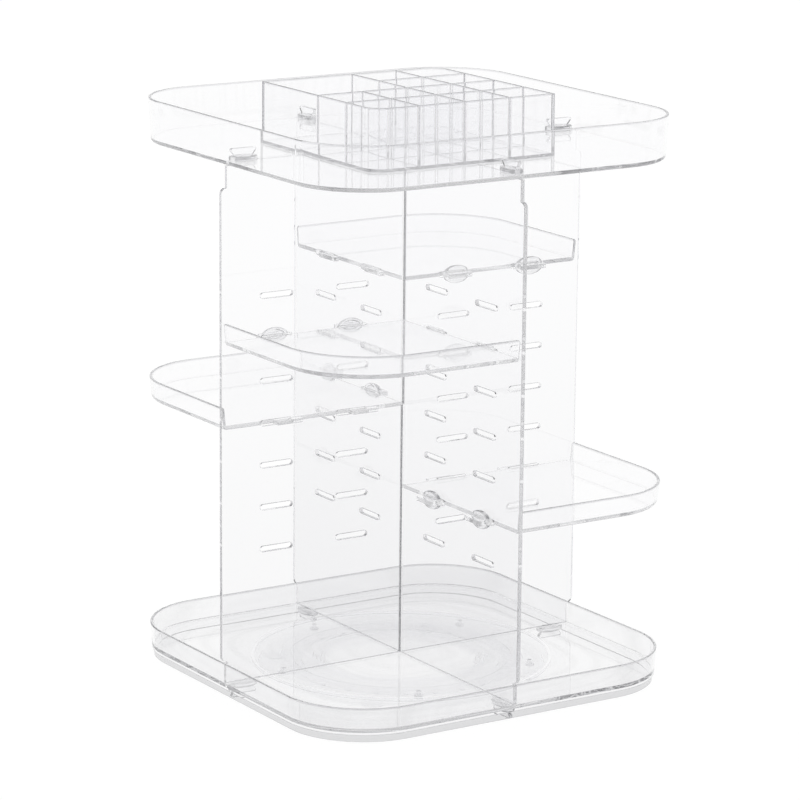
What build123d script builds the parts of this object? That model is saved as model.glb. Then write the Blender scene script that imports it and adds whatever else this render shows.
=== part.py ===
"""Turning cosmetics tower: base tray on a ball turntable, crossed panels, four shelves, top tray, organiser.

The frame has its origin on the turning axis at table height, +Z up. One panel runs along X, the other along Y.
All sizes are in millimetres.
"""
from build123d import *
import os
from math import atan2, degrees

os.makedirs("parts", exist_ok=True)

# Sheets, walls and clearances
sheet_t = 2.4            # thickness of the crossed panels
floor_t = 2.4            # thickness of the two tray floors
shelf_t = 2.4            # thickness of a shelf floor
rim_t = 1.6              # thickness of the moulded rims
fit_gap = 0.15           # clearance beside a sheet that is pushed against or through another
edge_round = 0.5         # rounding along the rim tops
sheet_round = 0.3        # rounding along the edges of the crossed panels and their slots

# Base tray
base_half = 115.0        # half of its width at the rim top
base_corner = 47.0
base_rim_h = 11.6        # above the floor
base_draft = 1.0
skirt_lift = 3.0         # gap between the skirt and the table
skirt_h = 4.0
skirt_inset = 1.0

# Turntable
turntable_inset = 33.0   # the upper ring plate ends this far inside the base tray's rim
foot_t = 1.5
foot_r = 6.0
foot_count = 4
foot_inset = 2.0         # from the edge of the lower ring plate
plate_t = 1.8            # both ring plates
ball_r = 1.9
ball_play = 0.05         # space round a ball in its two grooves
ball_count = 24
groove_depth = 0.5
race_inset = 20.0        # from the edge of the upper ring plate to the circle of balls
bore_inset = 19.0        # from the circle of balls to the bore of the lower ring plate
lower_ring_inset = 2.0   # the lower ring plate is smaller by this all round
cage_t = 1.2
cage_width = 12.0
cage_play = 0.2
collar_t = 2.0           # upright collar round the lower plate's bore
bead_reach = 1.7         # snap bead on the collar
bead_t = 0.4
lip_t = 1.1              # lip of the upper plate, caught under the bead
lip_drop = 1.7
lip_gap = 0.4
snap_play = 0.3
neck_t = 1.8
neck_gap = 1.1
collar_gap = 0.7         # space between the collar and the base floor
pin_count = 5
pin_turn = 29.0          # angle of the first pin
pin_inset = 9.5          # from the edge of the upper ring plate to the circle of pins
pin_r = 1.3
pin_grip = 1.7           # how far a pin reaches into the base floor
pin_head_r = 2.6
pin_head_t = 1.2
pin_play = 0.05
seat_rib_t = 1.6         # rib under the base floor that centres the upper plate
seat_play = 0.3

# Crossed panels
panel_proud = 0.6        # the panels stand out of the base tray's rim by this
panel_h = 283.6
panel_corner = 3.0
step_w = 3.4             # the panel is narrower by this on each side where it enters a tray
step_gap = 0.2
lap_play = 0.25
slot_w = 20.0
slot_h = 3.0
slot_rows = 7
slot_pitch = 23.3
slot_inner_x = 33.5      # centres of the two slot columns of each half panel
slot_outer_x = 81.3

# Flared tabs, hooks and the soft rings that lock the tabs
tab_neck_w = 11.0
tab_head_w = 17.6
tab_head_h = 4.0
tab_root = 1.0           # how far a tab or hook overlaps the sheet that it grows from
tab_round = 1.0
clip_inset = 14.8        # from a panel's edge to where its tabs pass through the two trays
clip_slot_play = 0.4
ring_w = 16.4
ring_h = 10.0
ring_t = 2.5
ring_play = 0.1
ring_fit = 0.2
ring_round = 0.8
dish_w = 13.4
dish_h = 6.6
dish_depth = 0.5
hook_neck_w = 10.6
hook_reach = 4.5         # how far a hook's toe lies beyond its slot
hook_t = 3.0
hook_clear = 0.8

# Shelves
shelf_inset = 1.0        # the shelf rims end this far inside the panel edges
shelf_corner = 46.5
shelf_h = 12.2
shelf_draft = 1.2
shelf_bottom_round = 2.0
rim_end_round = 1.4
shelf_places = {"front": (0, 2), "right": (90, 6), "back": (180, 1), "left": (270, 4)}  # turn, row from top

# Top tray
tray_inset = 1.8         # the top tray is smaller than the base tray by this all round
tray_corner = 42.0
tray_h = 24.5
tray_draft = 1.3
tray_bottom_round = 2.0

# Lipstick organiser
organiser_half = 56.8
organiser_h = 33.4
organiser_wall = 1.5
organiser_floor_t = 1.5
organiser_corner = 10.0
organiser_edge = 0.6
cell_corner = 0.8        # rounding of the upright corners inside the compartments
organiser_x = -8.0
organiser_y = -13.5

# Heights worked out from the table up
lower_plate_z = foot_t
race_z = lower_plate_z + plate_t - groove_depth + ball_r + ball_play
upper_plate_z = race_z + ball_r + ball_play - groove_depth
base_floor_z = upper_plate_z + plate_t
panel_z = base_floor_z + floor_t
base_rim_top = panel_z + base_rim_h
tray_z = panel_z + panel_h
tray_floor_top = tray_z + floor_t
mid_z = panel_z + panel_h / 2

# Widths worked out from the values above, from the base tray's inwards
upper_ring_r = base_half - turntable_inset
lower_ring_r = upper_ring_r - lower_ring_inset
race_r = upper_ring_r - race_inset
ring_bore_r = race_r - bore_inset
pin_orbit = upper_ring_r - pin_inset
foot_orbit = lower_ring_r - foot_inset - foot_r
panel_half = base_half + panel_proud
clip_orbit = panel_half - clip_inset
shelf_half = panel_half - shelf_inset
tray_half = base_half - tray_inset
step_h = base_rim_h + step_gap
clip_slot_w = tab_head_w + 2 * clip_slot_play
clip_slot_h = sheet_t + 2 * fit_gap
shelf_gap = sheet_t / 2 + fit_gap
ring_space = ring_t + ring_play
slot_columns = (-slot_outer_x, -slot_inner_x, slot_inner_x, slot_outer_x)


def row_z(row):
    """Height of a slot row, counted from 1 at the top."""
    return mid_z + ((slot_rows + 1) / 2 - row) * slot_pitch


def drafted_block(z, height, half, corner, draft, mode=Mode.ADD):
    """Rounded square block with its foot at z, whose sides lean out by draft up to half at its top."""
    with BuildSketch(Plane.XY.offset(z)) as foot:
        RectangleRounded(2 * (half - draft), 2 * (half - draft), corner - draft)
    extrude(foot.sketch, amount=height, taper=-degrees(atan2(draft, height)), mode=mode)


def straight_block(z, height, half, corner, mode=Mode.ADD):
    """Rounded square block with upright sides."""
    with BuildSketch(Plane.XY.offset(z)) as foot:
        RectangleRounded(2 * half, 2 * half, corner)
    extrude(foot.sketch, amount=height, mode=mode)


def hollow_rim(z, depth, half, corner, draft, wall_h):
    """Cut the inside of a drafted rim, from its floor at z up to its top, rim_t inside the outer sides."""
    share = draft * depth / wall_h
    drafted_block(z, depth, half - rim_t, corner - rim_t, share, Mode.SUBTRACT)


def ball_groove():
    """Cut the ball groove into the ring plate that is being built."""
    with BuildSketch(Plane.XZ) as section:
        with Locations((race_r, race_z)):
            Circle(ball_r + ball_play)
    revolve(section.sketch, axis=Axis.Z, mode=Mode.SUBTRACT)


def clip_slots(z):
    """Cut the four slots for the panel tabs through a tray floor whose underside is at z."""
    with BuildSketch(Plane.XY.offset(z)) as slots:
        with PolarLocations(clip_orbit, 4):
            Rectangle(clip_slot_w, clip_slot_h)
    extrude(slots.sketch, amount=floor_t, mode=Mode.SUBTRACT)


def flared_tab(neck_length, rotation=0):
    """Add a tab that leaves an edge along +Y: a straight neck and a head that widens to its tip."""
    tip = neck_length + tab_head_h
    Polygon(
        (-tab_neck_w / 2, -tab_root),
        (tab_neck_w / 2, -tab_root),
        (tab_neck_w / 2, neck_length),
        (tab_head_w / 2, tip),
        (-tab_head_w / 2, tip),
        (-tab_neck_w / 2, neck_length),
        rotation=rotation,
        align=None,
    )


def cross_panel(lap_from_top):
    """One of the two crossed panels, standing along X, with its lap slot from the top or from the bottom."""
    neck = floor_t + ring_space
    with BuildPart() as panel:
        with BuildSketch(Plane.XZ) as face:
            with Locations((0, mid_z)):
                RectangleRounded(2 * panel_half, panel_h - 2 * step_h, panel_corner)
                Rectangle(2 * (panel_half - step_w), panel_h)
            with Locations((-clip_orbit, tray_z), (clip_orbit, tray_z)):
                flared_tab(neck)
            with Locations((-clip_orbit, panel_z), (clip_orbit, panel_z)):
                flared_tab(neck, rotation=180)
            corners = face.vertices().group_by(Axis.Y)
            fillet(corners[0] + corners[-1], tab_round)
            rows = range(1, slot_rows + 1)
            with Locations([(x, row_z(row)) for x in slot_columns for row in rows]):
                SlotOverall(slot_w, slot_h, mode=Mode.SUBTRACT)
            lap_edge = tray_z if lap_from_top else panel_z
            lap_align = Align.MAX if lap_from_top else Align.MIN
            with Locations((0, lap_edge)):
                Rectangle(
                    sheet_t + 2 * fit_gap,
                    panel_h / 2 + lap_play,
                    align=(Align.CENTER, lap_align),
                    mode=Mode.SUBTRACT,
                )
        extrude(amount=sheet_t / 2, both=True)
        faces = panel.faces().filter_by(Axis.Y).sort_by(Axis.Y)
        fillet(faces[0].edges() + faces[-1].edges(), sheet_round)
    return panel.part


def hook(slot_y):
    """Add an L hook that leaves a shelf edge along +X, through the slot centred on slot_y, toe inwards."""
    inner_end = slot_y + slot_w / 2
    neck_inner = inner_end - hook_clear
    Polygon(
        (-shelf_gap - tab_root, neck_inner - hook_neck_w),
        (shelf_gap + hook_t, neck_inner - hook_neck_w),
        (shelf_gap + hook_t, inner_end + hook_reach),
        (shelf_gap, inner_end + hook_reach),
        (shelf_gap, neck_inner),
        (-shelf_gap - tab_root, neck_inner),
        align=None,
    )


# Turntable
with BuildPart() as turntable_lower_ring:
    collar_r = ring_bore_r + collar_t
    plate_top = lower_plate_z + plate_t
    bead_z = upper_plate_z - lip_drop + lip_t + snap_play
    collar_top = base_floor_z - collar_gap
    with BuildSketch(Plane.XZ) as lower_section:
        Polygon(
            (ring_bore_r, lower_plate_z),
            (lower_ring_r, lower_plate_z),
            (lower_ring_r, plate_top),
            (collar_r, plate_top),
            (collar_r, bead_z),
            (collar_r + bead_reach, bead_z),
            (collar_r + bead_reach, bead_z + bead_t),
            (collar_r, collar_top),
            (ring_bore_r, collar_top),
            align=None,
        )
    revolve(axis=Axis.Z)
    ball_groove()
turntable_lower_ring.part.label = "turntable_lower_ring"
export_step(turntable_lower_ring.part, "parts/turntable_lower_ring.step")

with BuildPart() as turntable_upper_ring:
    lip_r = collar_r + lip_gap
    neck_r = collar_r + bead_reach + neck_gap
    lip_z = upper_plate_z - lip_drop
    with BuildSketch(Plane.XZ) as upper_section:
        Polygon(
            (neck_r, base_floor_z),
            (neck_r, lip_z + lip_t),
            (lip_r, lip_z + lip_t),
            (lip_r, lip_z),
            (neck_r + neck_t, lip_z),
            (neck_r + neck_t, upper_plate_z),
            (upper_ring_r, upper_plate_z),
            (upper_ring_r, base_floor_z),
            align=None,
        )
    revolve(axis=Axis.Z)
    ball_groove()
    with BuildSketch(Plane.XY.offset(upper_plate_z)) as pin_holes:
        with PolarLocations(pin_orbit, pin_count, start_angle=pin_turn):
            Circle(pin_r + pin_play)
    extrude(amount=plate_t, mode=Mode.SUBTRACT)
turntable_upper_ring.part.label = "turntable_upper_ring"
export_step(turntable_upper_ring.part, "parts/turntable_upper_ring.step")

with BuildPart() as ball_cage:
    with BuildSketch(Plane.XY.offset(race_z)) as cage_face:
        Circle(race_r + cage_width / 2)
        Circle(race_r - cage_width / 2, mode=Mode.SUBTRACT)
        with PolarLocations(race_r, ball_count):
            Circle(ball_r + cage_play, mode=Mode.SUBTRACT)
    extrude(amount=cage_t / 2, both=True)
ball_cage.part.label = "ball_cage"
export_step(ball_cage.part, "parts/ball_cage.step")

with BuildPart() as bearing_balls:
    with Locations((0, 0, race_z)):
        with PolarLocations(race_r, ball_count):
            Sphere(ball_r)
bearing_balls.part.label = "bearing_balls"
export_step(bearing_balls.part, "parts/bearing_balls.step")

with BuildPart() as turntable_pins:
    with BuildSketch(Plane.XY.offset(upper_plate_z - pin_head_t)) as pin_heads:
        with PolarLocations(pin_orbit, pin_count, start_angle=pin_turn):
            Circle(pin_head_r)
    extrude(amount=pin_head_t)
    with BuildSketch(Plane.XY.offset(upper_plate_z)) as pin_shanks:
        with PolarLocations(pin_orbit, pin_count, start_angle=pin_turn):
            Circle(pin_r)
    extrude(amount=plate_t + pin_grip)
turntable_pins.part.label = "turntable_pins"
export_step(turntable_pins.part, "parts/turntable_pins.step")

with BuildPart() as foot_pad:
    with BuildSketch() as pad_face:
        Circle(foot_r)
    extrude(amount=foot_t)
    fillet(foot_pad.edges().group_by(Axis.Z)[0], foot_t / 3)
for number, place in enumerate(PolarLocations(foot_orbit, foot_count, start_angle=45), start=1):
    pad = foot_pad.part.moved(place)
    pad.label = f"foot_pad_{number}"
    export_step(pad, f"parts/foot_pad_{number}.step")

# Base tray
with BuildPart() as base_tray:
    rim_foot_z = skirt_lift + skirt_h
    rim_wall_h = base_rim_top - rim_foot_z
    skirt_half = base_half - base_draft - skirt_inset
    skirt_corner = base_corner - base_draft - skirt_inset
    drafted_block(rim_foot_z, rim_wall_h, base_half, base_corner, base_draft)
    straight_block(skirt_lift, skirt_h, skirt_half, skirt_corner)
    fillet(base_tray.edges().group_by(Axis.Z)[0], edge_round)
    hollow_rim(panel_z, base_rim_h, base_half, base_corner, base_draft, rim_wall_h)
    fillet(base_tray.edges().group_by(Axis.Z)[-1], edge_round)
    straight_block(
        skirt_lift, base_floor_z - skirt_lift, skirt_half - rim_t, skirt_corner - rim_t, Mode.SUBTRACT
    )
    with BuildSketch(Plane.XY.offset(upper_plate_z)) as seat_rib:
        Circle(upper_ring_r + seat_play + seat_rib_t)
        Circle(upper_ring_r + seat_play, mode=Mode.SUBTRACT)
    extrude(amount=plate_t)
    clip_slots(base_floor_z)
    with BuildSketch(Plane.XY.offset(base_floor_z)) as pin_sockets:
        with PolarLocations(pin_orbit, pin_count, start_angle=pin_turn):
            Circle(pin_r + pin_play)
    extrude(amount=pin_grip, mode=Mode.SUBTRACT)
base_tray.part.label = "base_tray"
export_step(base_tray.part, "parts/base_tray.step")

# Crossed panels
with BuildPart() as cross_panel_x:
    add(cross_panel(lap_from_top=True))
cross_panel_x.part.label = "cross_panel_x"
export_step(cross_panel_x.part, "parts/cross_panel_x.step")

with BuildPart() as cross_panel_y:
    add(cross_panel(lap_from_top=False).rotate(Axis.Z, 90))
cross_panel_y.part.label = "cross_panel_y"
export_step(cross_panel_y.part, "parts/cross_panel_y.step")

# Shelf of the corner at minus X and minus Y, with its floor centred on the slot row
with BuildPart() as shelf:
    drafted_block(-shelf_t / 2, shelf_h, shelf_half, shelf_corner, shelf_draft)
    fillet(shelf.edges().group_by(Axis.Z)[0], shelf_bottom_round)
    hollow_rim(shelf_t / 2, shelf_h - shelf_t, shelf_half, shelf_corner, shelf_draft, shelf_h)
    with Locations((-shelf_gap, -shelf_gap, 0)):
        Box(
            shelf_half,
            shelf_half,
            4 * shelf_h,
            align=(Align.MAX, Align.MAX, Align.CENTER),
            mode=Mode.INTERSECT,
        )
    rim_top = shelf.faces().sort_by(Axis.Z)[-1]
    rim_ends = rim_top.edges().filter_by(lambda edge: edge.length < 2 * rim_t)
    fillet(rim_ends, rim_end_round)
    rim_top = shelf.faces().sort_by(Axis.Z)[-1]
    fillet(rim_top.edges().filter_by(lambda edge: edge.length > 2 * rim_t), edge_round)
    with BuildSketch(Plane.XY.offset(-shelf_t / 2)) as tabs:
        with Locations((-slot_outer_x, -shelf_gap), (-slot_inner_x, -shelf_gap)):
            flared_tab(shelf_gap + sheet_t / 2 + ring_space)
        fillet(tabs.vertices().group_by(Axis.Y)[-1], tab_round)
        hook(-slot_outer_x)
        hook(-slot_inner_x)
    extrude(amount=shelf_t)

# Lock ring, lying on its flat back
with BuildPart() as lock_ring:
    with BuildSketch() as ring_face:
        Ellipse(ring_w / 2, ring_h / 2)
    extrude(amount=ring_t)
    fillet(lock_ring.edges(), ring_round)
    with BuildSketch(Plane.XY.offset(ring_t - dish_depth)) as dish:
        Ellipse(dish_w / 2, dish_h / 2)
    extrude(amount=ring_t, mode=Mode.SUBTRACT)
    with BuildSketch() as ring_hole:
        Rectangle(tab_neck_w + 2 * ring_fit, sheet_t + 2 * ring_fit)
    extrude(amount=ring_t, mode=Mode.SUBTRACT)

# Four shelves, each with two lock rings on the far side of its panel
for side, (turn, row) in shelf_places.items():
    level = Location((0, 0, row_z(row)), (0, 0, turn))
    piece = shelf.part.moved(level)
    piece.label = f"shelf_{side}"
    export_step(piece, f"parts/shelf_{side}.step")
    for column, slot_x in (("outer", -slot_outer_x), ("inner", -slot_inner_x)):
        seat = Plane(origin=(slot_x, sheet_t / 2, 0), x_dir=(1, 0, 0), z_dir=(0, 1, 0))
        ring = lock_ring.part.moved(level * seat.location)
        ring.label = f"shelf_{side}_ring_{column}"
        export_step(ring, f"parts/shelf_{side}_ring_{column}.step")

# Top tray
with BuildPart() as top_tray:
    drafted_block(tray_z, tray_h, tray_half, tray_corner, tray_draft)
    fillet(top_tray.edges().group_by(Axis.Z)[0], tray_bottom_round)
    hollow_rim(tray_floor_top, tray_h - floor_t, tray_half, tray_corner, tray_draft, tray_h)
    fillet(top_tray.edges().group_by(Axis.Z)[-1], edge_round)
    clip_slots(tray_z)
top_tray.part.label = "top_tray"
export_step(top_tray.part, "parts/top_tray.step")

# Lock rings of the panel tabs, on the top tray's floor and under the base tray's floor
for side, turn in (("right", 0), ("back", 90), ("left", 180), ("front", 270)):
    on_top = Location((0, 0, tray_floor_top), (0, 0, turn)) * Location((clip_orbit, 0, 0))
    under = Location((0, 0, base_floor_z), (0, 0, turn)) * Location((clip_orbit, 0, 0), (180, 0, 0))
    for tray, place in (("top_tray", on_top), ("base_tray", under)):
        ring = lock_ring.part.moved(place)
        ring.label = f"{tray}_ring_{side}"
        export_step(ring, f"parts/{tray}_ring_{side}.step")

# Lipstick organiser
with BuildPart() as lipstick_organiser:
    middle = (organiser_x, organiser_y)
    side = 2 * organiser_half
    quarter = organiser_half / 2
    inner = side - 2 * organiser_wall
    with BuildSketch(Plane.XY.offset(tray_floor_top)) as outline:
        with Locations(middle):
            Rectangle(side, side)
        diagonal = outline.vertices().sort_by(Axis((0, 0, 0), (1, 1, 0)))
        fillet([diagonal[0], diagonal[-1]], organiser_corner)
        fillet(outline.vertices().sort_by(Axis((0, 0, 0), (1, -1, 0)))[0], organiser_edge)
        fillet(outline.vertices().sort_by(Axis((0, 0, 0), (1, -1, 0)))[-1], organiser_edge)
    extrude(amount=organiser_h)
    with BuildSketch(Plane.XY.offset(tray_floor_top + organiser_floor_t)) as cells:
        with Locations(middle):
            Rectangle(inner, inner)
        diagonal = cells.vertices().sort_by(Axis((0, 0, 0), (1, 1, 0)))
        fillet([diagonal[0], diagonal[-1]], organiser_corner - organiser_wall)
        with Locations(middle):
            with Locations((0, 0), (quarter, 0)):
                Rectangle(organiser_wall, side, mode=Mode.SUBTRACT)
            with Locations((-quarter, -quarter)):
                Rectangle(organiser_wall, organiser_half, mode=Mode.SUBTRACT)
            with Locations((0, 0), (0, -quarter)):
                Rectangle(side, organiser_wall, mode=Mode.SUBTRACT)
            with Locations((quarter, quarter)):
                Rectangle(organiser_half, organiser_wall, mode=Mode.SUBTRACT)
        reach = inner / 2
        wide = [Vector(organiser_x + sign * reach, organiser_y + sign * reach) for sign in (-1, 1)]
        tight = cells.vertices().filter_by(
            lambda spot: all((Vector(spot.X, spot.Y) - corner).length > organiser_corner for corner in wide)
        )
        fillet(tight, cell_corner)
    extrude(amount=organiser_h, mode=Mode.SUBTRACT)
    fillet(lipstick_organiser.faces().sort_by(Axis.Z)[-1].edges(), edge_round)
lipstick_organiser.part.label = "lipstick_organiser"
export_step(lipstick_organiser.part, "parts/lipstick_organiser.step")
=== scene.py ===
# %% [markdown]
# # A clear cosmetics tower that turns on its base
#
# The tower is moulded from clear plastic: a base tray, two crossed panels, four quarter shelves, a top
# tray and a divided organiser. The construction comes in as a fixed frame, and this lesson gives it its
# looks: clear plastic that darkens along its edges, soft lock rings, soft feet, a floor, a room full of
# light and a camera.

# %% Load the frame
import math

import bpy
from mathutils import Matrix, Quaternion, Vector


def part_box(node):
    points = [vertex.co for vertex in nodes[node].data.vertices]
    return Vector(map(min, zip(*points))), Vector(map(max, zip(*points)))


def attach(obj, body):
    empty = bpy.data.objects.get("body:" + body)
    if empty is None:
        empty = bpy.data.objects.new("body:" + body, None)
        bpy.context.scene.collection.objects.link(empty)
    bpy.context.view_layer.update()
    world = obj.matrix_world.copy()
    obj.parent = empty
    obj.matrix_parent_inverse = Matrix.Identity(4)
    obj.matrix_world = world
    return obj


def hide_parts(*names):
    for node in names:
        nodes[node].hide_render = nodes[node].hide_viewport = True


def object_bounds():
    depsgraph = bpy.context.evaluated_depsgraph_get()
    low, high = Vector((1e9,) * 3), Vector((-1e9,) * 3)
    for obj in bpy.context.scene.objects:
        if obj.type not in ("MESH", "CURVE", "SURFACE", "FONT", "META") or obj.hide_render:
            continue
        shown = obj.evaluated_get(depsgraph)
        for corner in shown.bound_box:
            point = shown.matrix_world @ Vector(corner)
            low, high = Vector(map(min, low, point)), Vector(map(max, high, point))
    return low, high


MM = 0.001
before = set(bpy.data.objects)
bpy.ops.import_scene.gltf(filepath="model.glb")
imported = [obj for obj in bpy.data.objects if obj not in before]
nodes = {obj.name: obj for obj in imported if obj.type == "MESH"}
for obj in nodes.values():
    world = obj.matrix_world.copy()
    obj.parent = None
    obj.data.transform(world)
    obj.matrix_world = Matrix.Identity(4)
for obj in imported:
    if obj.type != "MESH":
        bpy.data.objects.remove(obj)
cad_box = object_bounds()
bpy.ops.object.select_all(action="DESELECT")

# %% [markdown]
# ## Light paths
#
# A ray that enters the edge of a clear sheet is mirrored from face to face many times before it comes out
# at the far side. Cycles stops after a dozen turns by default and paints what is left black. The real
# edges are grey. They could be painted grey, but then they'd look the same from all sides, so the rays are
# given many more turns instead and find their own way out.

# %% Let rays run along the sheets
cycles = bpy.context.scene.cycles
ray_turns = 200
cycles.max_bounces = ray_turns
cycles.transmission_bounces = ray_turns
cycles.glossy_bounces = ray_turns
print("a ray may turn", ray_turns, "times")

# %% [markdown]
# ## Node helpers
#
# Materials are built from a few small helpers: one that adds a node and sets its plain inputs, and one
# that makes an empty node group with named sockets. Writing each node out would hide the few values that
# matter among many lines that are all alike.


# %% Helpers for nodes
def add_node(tree, kind, inputs=None, **settings):
    """Adds a node of that kind, with its settings, and plain values for its inputs by name or number."""
    node = tree.nodes.new(kind)
    for name, value in settings.items():
        setattr(node, name, value)
    for name, value in (inputs or {}).items():
        node.inputs[name].default_value = value
    return node


def new_group(name, inputs, outputs):
    """Makes a node group. inputs is {name: value}, and outputs is {name: socket kind}."""
    tree = bpy.data.node_groups.new(name, "ShaderNodeTree")
    for socket_name, value in inputs.items():
        socket = tree.interface.new_socket(socket_name, in_out="INPUT", socket_type="NodeSocketFloat")
        socket.default_value = value
    for socket_name, kind in outputs.items():
        tree.interface.new_socket(socket_name, in_out="OUTPUT", socket_type=kind)
    print("new group:", name)
    return tree, tree.nodes.new("NodeGroupInput"), tree.nodes.new("NodeGroupOutput")


# %% [markdown]
# ## Moulded surface
#
# No moulded sheet is quite flat. Where the melt cooled it draws in a little, which bends what is seen
# through it by a hair, and handling leaves a faint haze in patches. Dents this shallow would need millions
# of faces as real geometry, so a bump makes them. One group holds both effects, and each plastic uses it
# with its own values.

# %% A group for moulded plastic
moulded, moulded_in, moulded_out = new_group(
    "moulded_surface",
    {"Wave Size": 40.0, "Wave Height": 0.02, "Haze Least": 0.0, "Haze Most": 0.03},
    {"Roughness": "NodeSocketFloat", "Normal": "NodeSocketVector"},
)
place = add_node(moulded, "ShaderNodeTexCoord")
waves = add_node(moulded, "ShaderNodeTexNoise", {"Detail": 1.0, "Roughness": 0.4})
haze_patches = add_node(moulded, "ShaderNodeTexNoise", {"Scale": 23.0, "Detail": 2.0, "Roughness": 0.6})
haze = add_node(moulded, "ShaderNodeMapRange", {"From Min": 0.42, "From Max": 0.75})
relief = add_node(moulded, "ShaderNodeBump", {"Strength": 1.0, "Distance": MM})
height = add_node(moulded, "ShaderNodeMath", operation="MULTIPLY")
links = moulded.links
links.new(place.outputs["Object"], waves.inputs["Vector"])
links.new(place.outputs["Object"], haze_patches.inputs["Vector"])
links.new(moulded_in.outputs["Wave Size"], waves.inputs["Scale"])
links.new(waves.outputs["Fac"], height.inputs[0])
links.new(moulded_in.outputs["Wave Height"], height.inputs[1])
links.new(height.outputs[0], relief.inputs["Height"])
links.new(haze_patches.outputs["Fac"], haze.inputs["Value"])
links.new(moulded_in.outputs["Haze Least"], haze.inputs["To Min"])
links.new(moulded_in.outputs["Haze Most"], haze.inputs["To Max"])
links.new(haze.outputs["Result"], moulded_out.inputs["Roughness"])
links.new(relief.outputs["Normal"], moulded_out.inputs["Normal"])

# %% [markdown]
# ## Clear plastic
#
# A thin sheet of this plastic takes off only a percent or two of the light. The same plastic looks grey
# along an edge, because the light seen there has run a long way inside the sheet. Absorption inside the
# volume gives both at once, with no paint on the edges.

# %% A recipe for clear plastic
plastic_ior = 1.49
inside_grey = (0.31, 0.31, 0.33, 1)
gentle_waves, faint_haze = (40.0, 0.02), (0.0, 0.03)


def clear_plastic(name, tint, density, ior=plastic_ior, waves=gentle_waves, haze=faint_haze):
    """A clear plastic: tint colours each surface, and density sets how much light is lost inside."""
    material = bpy.data.materials.new(name)
    material.use_nodes = True
    tree = material.node_tree
    tree.nodes.clear()
    out = add_node(tree, "ShaderNodeOutputMaterial")
    plastic = add_node(
        tree, "ShaderNodeBsdfPrincipled", {"Base Color": tint, "Transmission Weight": 1.0, "IOR": ior}
    )
    surface = add_node(tree, "ShaderNodeGroup", node_tree=moulded)
    for socket, value in zip(("Wave Size", "Wave Height", "Haze Least", "Haze Most"), waves + haze):
        surface.inputs[socket].default_value = value
    inside = add_node(tree, "ShaderNodeVolumeAbsorption", {"Color": inside_grey, "Density": density})
    tree.links.new(surface.outputs["Roughness"], plastic.inputs["Roughness"])
    tree.links.new(surface.outputs["Normal"], plastic.inputs["Normal"])
    tree.links.new(plastic.outputs[0], out.inputs["Surface"])
    tree.links.new(inside.outputs[0], out.inputs["Volume"])
    return material


# %% [markdown]
# ## One finish for each kind of piece
#
# The sheets are hard and glossy. The rings and feet are a softer, duller plastic that takes in more light.
# The turntable lies under the floor of the base tray, and the photograph shows it only as faint rings. Real
# hard plastic would mirror far more there, so its pieces get an index of refraction close to that of air,
# which keeps them in place and hardly visible.

# %% Give each piece its finish
sheet_tint = (0.992, 0.992, 0.9955, 1)
panel_tint = (0.985, 0.985, 0.99, 1)
soft_tint = (0.965, 0.965, 0.97, 1)
no_waves, slight_waves, dents = (40.0, 0.0), (40.0, 0.006), (160.0, 0.05)
no_haze, handled, soft_haze = (0.0, 0.0), (0.02, 0.07), (0.02, 0.1)
matt, very_matt = (0.1, 0.2), (0.3, 0.4)
finishes = {
    "trays": clear_plastic("clear_tray", sheet_tint, 2.0, waves=slight_waves, haze=no_haze),
    "panels": clear_plastic("clear_panel", panel_tint, 1.8, waves=no_waves, haze=no_haze),
    "shelves": clear_plastic("clear_shelf", sheet_tint, 2.4, haze=handled),
    "organiser": clear_plastic("clear_organiser", sheet_tint, 7.0, waves=no_waves, haze=no_haze),
    "turntable": clear_plastic("clear_turntable", sheet_tint, 8.0, ior=1.014, haze=matt),
    "cage": clear_plastic("clear_cage", sheet_tint, 8.0, ior=1.02, haze=matt),
    "pins": clear_plastic("clear_pin", soft_tint, 70.0, ior=1.04, haze=very_matt),
    "balls": clear_plastic("clear_ball", sheet_tint, 8.0, ior=1.02),
    "lock_rings": clear_plastic("soft_ring", soft_tint, 24.0, waves=dents, haze=soft_haze),
    "feet": clear_plastic("soft_foot", sheet_tint, 12.0, ior=1.02, haze=matt),
}
for node in nodes.values():
    for index, plain in enumerate(node.data.materials):
        node.data.materials[index] = finishes[plain.name.split(".")[0]]
print(len(finishes), "finishes on", len(nodes), "nodes")

# %% [markdown]
# ## Rims and skirt
#
# Two parts of a tray are darker than its sheets, and both darkenings are painted into its colour. The lip of
# the rim is rounded, and bends the dark of the room into a soft line about a millimetre high, which is
# painted on as a dark reflection. Below its floor the base tray's wall runs on as a skirt that hides the
# turntable, and little light reaches it, so its shade is painted on as a dark tint. Cutting these bands out
# as pieces of their own would put seams in the clear wall, so a mask by height paints them into the tint of
# the plastic instead.

# %% A group for a band of heights
height_band, band_in, band_out = new_group(
    "height_band",
    {"Low": -0.01, "High": 0.01, "Softness": 0.001},
    {"Mask": "NodeSocketFloat"},
)
place = add_node(height_band, "ShaderNodeTexCoord")
split = add_node(height_band, "ShaderNodeSeparateXYZ")
start = add_node(height_band, "ShaderNodeMath", operation="SUBTRACT")
stop = add_node(height_band, "ShaderNodeMath", operation="ADD")
smooth = "SMOOTHSTEP"
rise = add_node(height_band, "ShaderNodeMapRange", interpolation_type=smooth)
fall = add_node(height_band, "ShaderNodeMapRange", {"To Min": 1.0, "To Max": 0.0}, interpolation_type=smooth)
both = add_node(height_band, "ShaderNodeMath", operation="MULTIPLY")
links = height_band.links
links.new(place.outputs["Object"], split.inputs[0])
links.new(band_in.outputs["Low"], start.inputs[0])
links.new(band_in.outputs["Softness"], start.inputs[1])
links.new(band_in.outputs["High"], stop.inputs[0])
links.new(band_in.outputs["Softness"], stop.inputs[1])
links.new(split.outputs["Z"], rise.inputs["Value"])
links.new(start.outputs[0], rise.inputs["From Min"])
links.new(band_in.outputs["Low"], rise.inputs["From Max"])
links.new(split.outputs["Z"], fall.inputs["Value"])
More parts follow.
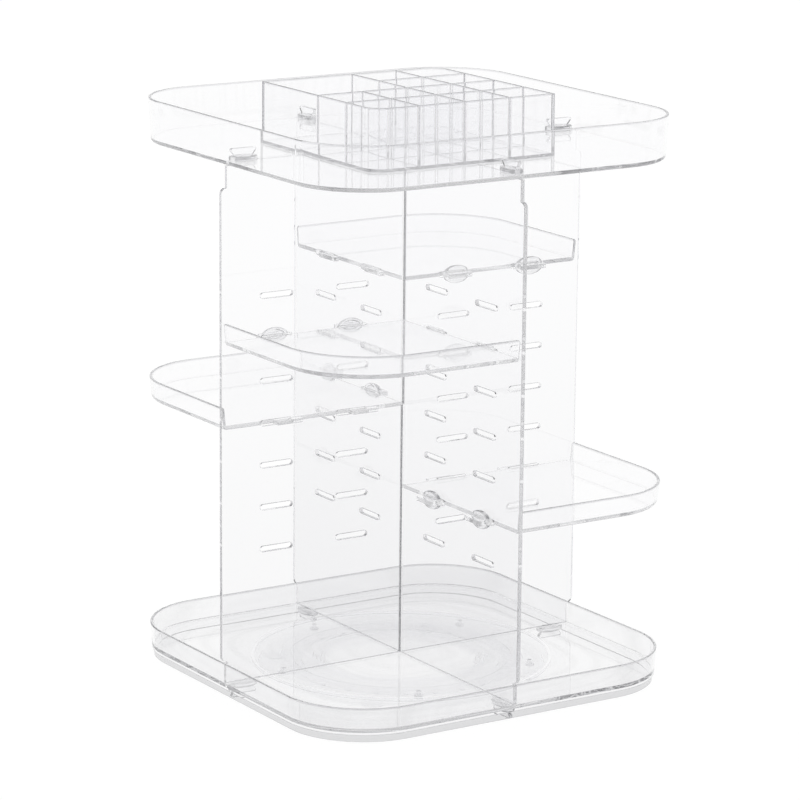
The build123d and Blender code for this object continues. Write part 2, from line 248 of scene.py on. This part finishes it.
links.new(band_in.outputs["High"], fall.inputs["From Min"])
links.new(stop.outputs[0], fall.inputs["From Max"])
links.new(rise.outputs["Result"], both.inputs[0])
links.new(fall.outputs["Result"], both.inputs[1])
links.new(both.outputs[0], band_out.inputs["Mask"])

# %% [markdown]
# ## Flow lines
#
# The melt for the base tray enters at its middle and spreads outwards until it meets the walls, and where its
# front slowed down it left faint lines that run like the tray's outline. They could be modelled as ripples,
# but then they'd bend what is seen through the floor, and on the real tray they hardly do. So they change the
# tint by a hair. The distance from the middle drives a noise. It is the fourth root of x⁴ + y⁴, whose
# contours are rounded squares like the tray, where the usual distance would give circles.

# %% A group for flow lines
flow_lines, flow_in, flow_out = new_group(
    "flow_lines",
    {"Lines per Metre": 160.0, "Wobble": 0.006},
    {"Mask": "NodeSocketFloat"},
)
one_fourth = 0.25
place = add_node(flow_lines, "ShaderNodeTexCoord")
square = add_node(flow_lines, "ShaderNodeVectorMath", operation="MULTIPLY")
fourth = add_node(flow_lines, "ShaderNodeVectorMath", operation="MULTIPLY")
split = add_node(flow_lines, "ShaderNodeSeparateXYZ")
total = add_node(flow_lines, "ShaderNodeMath", operation="ADD")
distance_out = add_node(flow_lines, "ShaderNodeMath", {1: one_fourth}, operation="POWER")
drift = add_node(flow_lines, "ShaderNodeTexNoise", {"Scale": 14.0, "Detail": 1.0})
wobbly = add_node(flow_lines, "ShaderNodeMath", operation="MULTIPLY_ADD")
streaks = add_node(flow_lines, "ShaderNodeTexNoise", {"Detail": 3.0, "Roughness": 0.6}, noise_dimensions="1D")
crests = add_node(flow_lines, "ShaderNodeMapRange", {"From Min": 0.44, "From Max": 0.62})
links = flow_lines.links
links.new(place.outputs["Object"], square.inputs[0])
links.new(place.outputs["Object"], square.inputs[1])
links.new(square.outputs[0], fourth.inputs[0])
links.new(square.outputs[0], fourth.inputs[1])
links.new(fourth.outputs[0], split.inputs[0])
links.new(split.outputs["X"], total.inputs[0])
links.new(split.outputs["Y"], total.inputs[1])
links.new(total.outputs[0], distance_out.inputs[0])
links.new(place.outputs["Object"], drift.inputs["Vector"])
links.new(drift.outputs["Fac"], wobbly.inputs[0])
links.new(flow_in.outputs["Wobble"], wobbly.inputs[1])
links.new(distance_out.outputs[0], wobbly.inputs[2])
links.new(wobbly.outputs[0], streaks.inputs["W"])
links.new(flow_in.outputs["Lines per Metre"], streaks.inputs["Scale"])
links.new(streaks.outputs["Fac"], crests.inputs["Value"])
links.new(crests.outputs["Result"], flow_out.inputs["Mask"])

# %% [markdown]
# ## The joint in the middle
#
# The two panels slide into each other at the middle. The walls of the lap slots are sawn and stay matt, so
# the joint shows as a darker upright line. The slot walls could be given a material of their own face by
# face, but a mask of the few millimetres round the axis picks the same walls out with one number.

# %% A group for the column at the axis
middle_column, column_in, column_out = new_group(
    "middle_column",
    {"Half Width": 0.0015},
    {"Mask": "NodeSocketFloat"},
)
place = add_node(middle_column, "ShaderNodeTexCoord")
absolute = add_node(middle_column, "ShaderNodeVectorMath", operation="ABSOLUTE")
split = add_node(middle_column, "ShaderNodeSeparateXYZ")
farther = add_node(middle_column, "ShaderNodeMath", operation="MAXIMUM")
inside = add_node(middle_column, "ShaderNodeMath", operation="LESS_THAN")
links = middle_column.links
links.new(place.outputs["Object"], absolute.inputs[0])
links.new(absolute.outputs[0], split.inputs[0])
links.new(split.outputs["X"], farther.inputs[0])
links.new(split.outputs["Y"], farther.inputs[1])
links.new(farther.outputs[0], inside.inputs[0])
links.new(column_in.outputs["Half Width"], inside.inputs[1])
links.new(inside.outputs[0], column_out.inputs["Mask"])

# %% [markdown]
# ## Tints by a mask
#
# A mask mixes a new tint over the one that a plastic has, and a later tint lies over the earlier ones. A
# dark tint also dims the light that passes through on its way to other places, and would darken edges far
# from the mask. Two limits keep it where it belongs. With camera_only only what the camera sees directly
# is tinted. With unmirrored light keeps its colour once it has been mirrored inside a sheet.


# %% Helpers for tints
def multiply(tree, first, second):
    """Multiplies two node outputs and returns the product's output."""
    product = add_node(tree, "ShaderNodeMath", operation="MULTIPLY")
    tree.links.new(first, product.inputs[0])
    tree.links.new(second, product.inputs[1])
    return product.outputs[0]


def tint_where(mask_group, values, material, tint, camera_only=False, in_rings=False, unmirrored=False):
    """Tints a plastic by a mask, and with in_rings only along its flow lines."""
    tree = material.node_tree
    plastic = next(node for node in tree.nodes if node.type == "BSDF_PRINCIPLED")
    colour = plastic.inputs["Base Color"]
    factor = add_node(tree, "ShaderNodeGroup", values, node_tree=mask_group).outputs["Mask"]
    if camera_only:
        path = add_node(tree, "ShaderNodeLightPath")
        factor = multiply(tree, factor, path.outputs["Is Camera Ray"])
    if unmirrored:
        no_turn_yet = add_node(tree, "ShaderNodeMath", {1: 0.5}, operation="LESS_THAN")
        path = add_node(tree, "ShaderNodeLightPath")
        tree.links.new(path.outputs["Glossy Depth"], no_turn_yet.inputs[0])
        factor = multiply(tree, factor, no_turn_yet.outputs[0])
    if in_rings:
        rings = add_node(tree, "ShaderNodeGroup", node_tree=flow_lines)
        factor = multiply(tree, factor, rings.outputs["Mask"])
    shade = add_node(tree, "ShaderNodeMix", data_type="RGBA")
    shade.inputs["A"].default_value = colour.default_value
    shade.inputs["B"].default_value = tint
    if colour.links:
        tree.links.new(colour.links[0].from_socket, shade.inputs["A"])
    tree.links.new(factor, shade.inputs["Factor"])
    tree.links.new(shade.outputs["Result"], colour)


def tint_band(low, high, softness, material, tint, **options):
    """Tints a plastic between two heights, and fades out over the softness."""
    tint_where(height_band, {"Low": low, "High": high, "Softness": softness}, material, tint, **options)
    low_mm, high_mm, fade_mm = (round(value / MM, 1) for value in (low, high, softness))
    print(f"{material.name} is tinted from {low_mm} to {high_mm} mm and fades over {fade_mm} mm")


# %% [markdown]
# ## The base tray
#
# The whole tower stands over the base tray and keeps light from it, and that shade is painted on: the tray
# gets a greyer tint than the rest, most of all at its floor. Its flow lines come next, and the skirt last.
# The skirt is first set back to the plain tint, and then painted dark with shade only where the camera sees
# it directly, so that it doesn't dim the floor above it.

# %% Paint shade on the base tray and its skirt, and tint its flow lines
table_z = -1 * MM
floor_z, skirt_z = 10.2 * MM, 7.4 * MM
base_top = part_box("base_tray")[1][2]
wall_fade, skirt_fade = 1 * MM, 0.4 * MM
painted_wall_shade, painted_floor_shade = (0.965, 0.965, 0.97, 1), (0.925, 0.925, 0.93, 1)
line_grey, painted_skirt_shade = (0.885, 0.885, 0.89, 1), (0.52, 0.52, 0.53, 1)
tray_plastic = finishes["trays"]
# Painted shade: the tower keeps light from the base tray, so its wall, and its floor more, are tinted grey.
tint_band(table_z, base_top, wall_fade, tray_plastic, painted_wall_shade)
tint_band(table_z, floor_z, wall_fade, tray_plastic, painted_floor_shade)
tint_band(table_z, base_top, wall_fade, tray_plastic, line_grey, in_rings=True)
tint_band(table_z, skirt_z, skirt_fade, tray_plastic, sheet_tint)
# Painted shade: the skirt is tinted dark where the camera sees it, for the little light that reaches it.
tint_band(table_z, skirt_z, skirt_fade, tray_plastic, painted_skirt_shade, camera_only=True)

# %% [markdown]
# ## The lips
#
# Each tray and shelf ends in a rounded lip, and so do the walls of the organiser. All get the same narrow
# band at their own top, a painted reflection of the dark ceiling that the rounded lip bends. The base tray's
# lip is the darkest.

# %% Paint the dark reflection on the lips of the rims
lip_high, lip_fade = 0.9 * MM, 0.2 * MM
# Painted reflection: each lip's grey stands for the dark ceiling bent into view by the rounded lip.
lips = {
    "base_tray": ("trays", (0.74, 0.74, 0.75, 1)),
    "top_tray": ("trays", (0.85, 0.85, 0.86, 1)),
    "lipstick_organiser": ("organiser", (0.84, 0.84, 0.85, 1)),
}
for name in nodes:
    if name.startswith("shelf_") and "_ring_" not in name:
        lips[name] = ("shelves", (0.8, 0.8, 0.81, 1))
for name, (finish, lip_reflection_grey) in lips.items():
    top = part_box(name)[1][2]
    tint_band(top - lip_high, top, lip_fade, finishes[finish], lip_reflection_grey)

# %% [markdown]
# ## The panels
#
# Less light reaches the panels towards the base, where more sheets surround them, so that shade is painted as
# a greyer tint, and they are darkest at their joint. One band that fades out over most of their height paints
# the first, and the column at the axis gives the second.

# %% Paint shade on the panels towards the base, and tint the joint
panel_fade, joint_half = 280 * MM, 1.4 * MM
painted_panel_shade, joint_grey = (0.94, 0.94, 0.945, 1), (0.5, 0.5, 0.51, 1)
panel_plastic = finishes["panels"]
# Painted shade: the panels grow greyer towards the base, where more sheets keep light from them.
tint_band(table_z, floor_z, panel_fade, panel_plastic, painted_panel_shade)
tint_where(middle_column, {"Half Width": joint_half}, panel_plastic, joint_grey, unmirrored=True)
print("the joint is tinted", round(joint_half / MM, 1), "mm to each side of the axis")

# %% [markdown]
# ## Soft lock rings
#
# A soft clear ring is pushed over each tab to keep it from slipping out. It is an oval cushion with a
# rounded edge, a shallow dish in its face and a slot for the tab. Its outline could be drawn as a curve and
# extruded. A cylinder pressed to an oval needs no drawing, and its edge is then bevelled, since nothing
# that soft has a sharp edge. One ring is shaped, and copies of it are laid where the CAD rings are.

# %% Helpers for modelling
edge_angle = math.radians(60)
smooth_angle = math.radians(35)


def apply_modifier(piece, kind, **settings):
    """Adds a modifier with its settings and applies it."""
    modifier = piece.modifiers.new(kind.lower(), kind)
    for name, value in settings.items():
        setattr(modifier, name, value)
    bpy.ops.object.modifier_apply(modifier=modifier.name)


def round_edges(piece, width, segments):
    """Rounds the sharp edges of a piece."""
    apply_modifier(
        piece, "BEVEL", width=width, segments=segments, limit_method="ANGLE", angle_limit=edge_angle
    )


def select_only(piece):
    """Selects this piece alone, so that the next operator works on it."""
    bpy.ops.object.select_all(action="DESELECT")
    piece.select_set(True)
    bpy.context.view_layer.objects.active = piece


# %% Press a cylinder to an oval and round its edge
ring_long, ring_wide, ring_thick = 16.4 * MM, 10.0 * MM, 2.5 * MM
ring_rounding = 0.8 * MM
ring_middle = (0, 0, ring_thick / 2)
bpy.ops.object.select_all(action="DESELECT")
bpy.ops.mesh.primitive_cylinder_add(
    vertices=96, radius=ring_long / 2, depth=ring_thick, location=ring_middle
)
first_ring = bpy.context.object
first_ring.name = "lock_ring"
bpy.ops.object.transform_apply(location=True, rotation=True, scale=True)
bpy.ops.object.mode_set(mode="EDIT")
bpy.ops.mesh.select_all(action="SELECT")
bpy.ops.transform.resize(value=(1, ring_wide / ring_long, 1), orient_type="GLOBAL")
bpy.ops.object.mode_set(mode="OBJECT")
round_edges(first_ring, ring_rounding, 5)
print("rounded ring:", len(first_ring.data.polygons), "faces")

# %% [markdown]
# ## The dish
#
# The face of the ring is sunk a little, with a raised border all round. Insetting the top face once makes
# the border, and insetting it again with a depth makes the sloping side and the sunken floor. A boolean
# could cut a dish too, but an upright side would have a sharp edge where soft plastic slopes.

# %% Sink the dish
dish_border, dish_depth = 0.5 * MM, 0.5 * MM
same_level = 0.01 * MM
side_corners = 8
top_z = max(face.center.z for face in first_ring.data.polygons)
for face in first_ring.data.polygons:
    face.select = face.center.z > top_z - same_level and len(face.vertices) > side_corners
bpy.ops.object.mode_set(mode="EDIT")
bpy.ops.mesh.select_mode(type="FACE")
bpy.ops.mesh.inset(thickness=dish_border, depth=0)
bpy.ops.mesh.inset(thickness=dish_border, depth=-dish_depth)
bpy.ops.object.mode_set(mode="OBJECT")
print("dish:", round(dish_depth / MM, 1), "mm deep")

# %% [markdown]
# ## The slot
#
# The tab passes through a straight slot, which the mould leaves free with a core. A box in the shape of
# that core is subtracted with a boolean. It is much deeper than the ring, so that no thin skin stays.

# %% Cut the slot
slot_long, slot_wide, core_deep = 11.4 * MM, 2.8 * MM, 3 * ring_thick
bpy.ops.object.select_all(action="DESELECT")
bpy.ops.mesh.primitive_cube_add(size=1, location=ring_middle, scale=(slot_long, slot_wide, core_deep))
core = bpy.context.object
select_only(first_ring)
apply_modifier(first_ring, "BOOLEAN", object=core, operation="DIFFERENCE", solver="EXACT")
bpy.data.objects.remove(core)
first_ring.data.materials.clear()
first_ring.data.materials.append(finishes["lock_rings"])
bpy.ops.object.shade_smooth_by_angle(angle=smooth_angle)
ring_size = [round(side / MM, 2) for side in first_ring.dimensions]
print("lock ring:", len(first_ring.data.polygons), "faces, size in mm", ring_size)

# %% [markdown]
# ## Where the rings go
#
# The box of a CAD ring tells how it lies. Its shortest side is the ring's thickness and its longest side
# the ring's length. The dish faces outwards: away from the axis on a panel, and up or down, away from the
# middle of the tower, on the floor of a tray.

# %% Lay a ring over each tab
tower_middle = Vector((0, 0, (cad_box[0][2] + cad_box[1][2]) / 2))
ring_names = sorted(name for name in nodes if "_ring_" in name)
for name in ring_names:
    low, high = (Vector(corner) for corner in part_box(name))
    size, middle = high - low, (low + high) / 2
    thin = min(range(3), key=lambda axis: size[axis])
    long = max(range(3), key=lambda axis: size[axis])
    outwards = Vector((0, 0, 0))
    outwards[thin] = 1 if (middle - tower_middle)[thin] > 0 else -1
    along = Vector((0, 0, 0))
    along[long] = 1
    select_only(first_ring)
    bpy.ops.object.duplicate()
    ring = bpy.context.object
    ring.name = "soft_" + name
    turn = Matrix((along, outwards.cross(along), outwards)).transposed().to_4x4()
    ring.matrix_world = Matrix.Translation(middle - outwards * size[thin] / 2) @ turn
    bpy.ops.object.transform_apply(location=True, rotation=True, scale=True)
    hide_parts(name)
    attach(ring, "tower")
bpy.data.objects.remove(first_ring)
print(len(ring_names), "lock rings laid")

# %% [markdown]
# ## Feet
#
# The turntable stands on soft pads, which keep it from sliding. They are plain discs with rounded edges,
# and could be turned from a profile. A cylinder with its edges bevelled gives the same disc with less work.

# %% Feet
foot_rounding = 0.4 * MM
foot_names = sorted(name for name in nodes if name.startswith("foot_pad"))
for name in foot_names:
    low, high = (Vector(corner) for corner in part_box(name))
    bpy.ops.object.select_all(action="DESELECT")
    bpy.ops.mesh.primitive_cylinder_add(
        vertices=64, radius=(high.x - low.x) / 2, depth=high.z - low.z, location=(low + high) / 2
    )
    foot = bpy.context.object
    foot.name = "soft_" + name
    bpy.ops.object.transform_apply(location=True, rotation=True, scale=True)
    round_edges(foot, foot_rounding, 4)
    foot.data.materials.append(finishes["feet"])
    bpy.ops.object.shade_smooth_by_angle(angle=smooth_angle)
    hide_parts(name)
    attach(foot, "stand")
print(len(foot_names), "feet")

# %% [markdown]
# ## Air between touching faces
#
# Two flat plastic faces that rest on each other still have a film of air between them. In the frame such
# faces lie in the same plane, and a ray can't tell which it meets first. The pieces could be moved apart,
# but then some would no longer sit where they belong. Instead each is drawn in on all sides by a few
# thousandths of a millimetre, far less than can be seen, which opens that film.

# %% Open the air film
air_film = 0.006 * MM
drawn_in = [node for node in nodes.values() if not node.hide_render]
for node in drawn_in:
    film = node.modifiers.new("air_film", "DISPLACE")
    film.direction = "CUSTOM_NORMAL"
    film.mid_level = 0.0
    film.strength = -air_film
print(len(drawn_in), "pieces drawn in by", round(air_film / MM, 3), "mm")

# %% [markdown]
# ## Floor
#
# The photograph has a pure white background with no line where the floor ends, so the floor glows white
# for the camera, and a faint diffuse part lets soft shadows show. Seen through or mirrored in the plastic
# a real floor would be just as white. Here rays that come from the plastic skip the floor and meet the
# light of the room below it, which can be set apart from the floor's own white.

# %% Floor
floor_size = 12.0
glow_strength = 0.97
pure_white = (1, 1, 1, 1)
paint_grey, shadow_grey = (0.8, 0.8, 0.8, 1), (0.15, 0.15, 0.15, 1)
bpy.ops.mesh.primitive_plane_add(size=floor_size, location=(0, 0, 0))
floor = bpy.context.object
floor.name = "floor"
floor_paint = bpy.data.materials.new("white_floor")
floor_paint.use_nodes = True
tree = floor_paint.node_tree
tree.nodes.clear()
out = add_node(tree, "ShaderNodeOutputMaterial")
path = add_node(tree, "ShaderNodeLightPath")
plain = add_node(tree, "ShaderNodeBsdfDiffuse", {"Color": paint_grey})
shadow_catcher = add_node(tree, "ShaderNodeBsdfDiffuse", {"Color": shadow_grey})
glow = add_node(tree, "ShaderNodeEmission", {"Color": pure_white, "Strength": glow_strength})
white = add_node(tree, "ShaderNodeAddShader")
choice = add_node(tree, "ShaderNodeMixShader")
tree.links.new(glow.outputs[0], white.inputs[0])
tree.links.new(shadow_catcher.outputs[0], white.inputs[1])
tree.links.new(path.outputs["Is Camera Ray"], choice.inputs["Fac"])
tree.links.new(plain.outputs[0], choice.inputs[1])
tree.links.new(white.outputs[0], choice.inputs[2])
tree.links.new(choice.outputs[0], out.inputs["Surface"])
floor.data.materials.append(floor_paint)
floor.visible_transmission = False
floor.visible_glossy = False
print("floor:", floor_size, "m wide")

# %% [markdown]
# ## Light
#
# Clear plastic has hardly a look of its own: it shows the room. Area lamps would leave bright squares in
# every sheet, so the room is a dome that is white all round at eye height. Its dark ceiling draws the lips
# and edges as grey lines, and below it is a pale ground.

# %% The dome, from the ground up to the ceiling
world = bpy.data.worlds.new("white_room")
bpy.context.scene.world = world
world.use_nodes = True
tree = world.node_tree
tree.nodes.clear()
out = add_node(tree, "ShaderNodeOutputWorld")
background = add_node(tree, "ShaderNodeBackground")
direction = add_node(tree, "ShaderNodeTexCoord")
split = add_node(tree, "ShaderNodeSeparateXYZ")
dome = add_node(tree, "ShaderNodeValToRGB")
ceiling_grey = (0.1, 0.1, 0.102, 1)
ground_grey = (0.9, 0.9, 0.91, 1)
white_band = {0.08: ground_grey, 0.2: pure_white, 0.67: pure_white, 0.78: ceiling_grey}
ramp = dome.color_ramp
while len(ramp.elements) < len(white_band):
    ramp.elements.new(0.5)
for element, (position, colour) in zip(ramp.elements, white_band.items()):
    element.position = position
    element.color = colour
# The direction's z runs from -1 to 1, and half of it plus one half runs from 0 to 1, as the ramp does.
half_up = add_node(tree, "ShaderNodeMath", {1: 0.5, 2: 0.5}, operation="MULTIPLY_ADD")
tree.links.new(direction.outputs["Generated"], split.inputs[0])
tree.links.new(split.outputs["Z"], half_up.inputs[0])
tree.links.new(half_up.outputs[0], dome.inputs["Fac"])
print("dome:", len(ramp.elements), "stops")

# %% [markdown]
# ## Even light after many turns
#
# A ray that has been mirrored many times inside a sheet comes out in a direction that is close to chance,
# and a real sheet scatters it a little at each turn. The border between white wall and dark ceiling would
# turn into grain there. More samples would smooth the grain slowly, so such rays see more and more of one
# even light grey instead. The camera itself sees plain white.

# %% Even light after many turns, and white for the camera
first_turn, last_turn = 4.0, 10.0
even_grey = (0.88, 0.88, 0.885, 1)
path = add_node(tree, "ShaderNodeLightPath")
turns_seen = add_node(tree, "ShaderNodeMapRange", {"From Min": first_turn, "From Max": last_turn})
scattered = add_node(tree, "ShaderNodeMix", data_type="RGBA")
scattered.inputs["B"].default_value = even_grey
pick = add_node(tree, "ShaderNodeMix", data_type="RGBA")
pick.inputs["B"].default_value = pure_white
tree.links.new(path.outputs["Glossy Depth"], turns_seen.inputs["Value"])
tree.links.new(turns_seen.outputs["Result"], scattered.inputs["Factor"])
tree.links.new(dome.outputs["Color"], scattered.inputs["A"])
tree.links.new(path.outputs["Is Camera Ray"], pick.inputs["Factor"])
tree.links.new(scattered.outputs["Result"], pick.inputs["A"])
tree.links.new(pick.outputs["Result"], background.inputs["Color"])
tree.links.new(background.outputs[0], out.inputs["Surface"])
print("the light turns even between", first_turn, "and", last_turn, "turns")

# %% [markdown]
# ## Camera
#
# The upright lines of the photograph run almost parallel, which a wide lens close by can't give. So the
# camera stands about two metres away with a long lens. It is nearly twice as high as the tower and looks
# down a little, which shows the floors of the trays.

# %% Camera
aim = Vector((0, 0, 0.1543))
azimuth = math.radians(-32.8)
elevation = math.radians(13.26)
roll = math.radians(0.55)
distance = 2.0707
towards_camera = Vector(
    (
        math.sin(azimuth) * math.cos(elevation),
        -math.cos(azimuth) * math.cos(elevation),
        math.sin(elevation),
    )
)
bpy.ops.object.camera_add(location=aim + distance * towards_camera)
camera = bpy.context.object
camera.rotation_mode = "QUATERNION"
camera.rotation_quaternion = (-towards_camera).to_track_quat("-Z", "Y") @ Quaternion((0, 0, 1), roll)
camera.data.sensor_width = 36.0
camera.data.lens = 169.7
camera.data.shift_x = -0.004
camera.data.clip_end = 50.0
bpy.context.scene.camera = camera
print("camera:", round(camera.location.z, 3), "m above the floor")

# %% [markdown]
# ## Colour
#
# The Standard view keeps white at white, where a filmic view would turn it to grey.

# %% Colour
bpy.context.scene.view_settings.view_transform = "Standard"
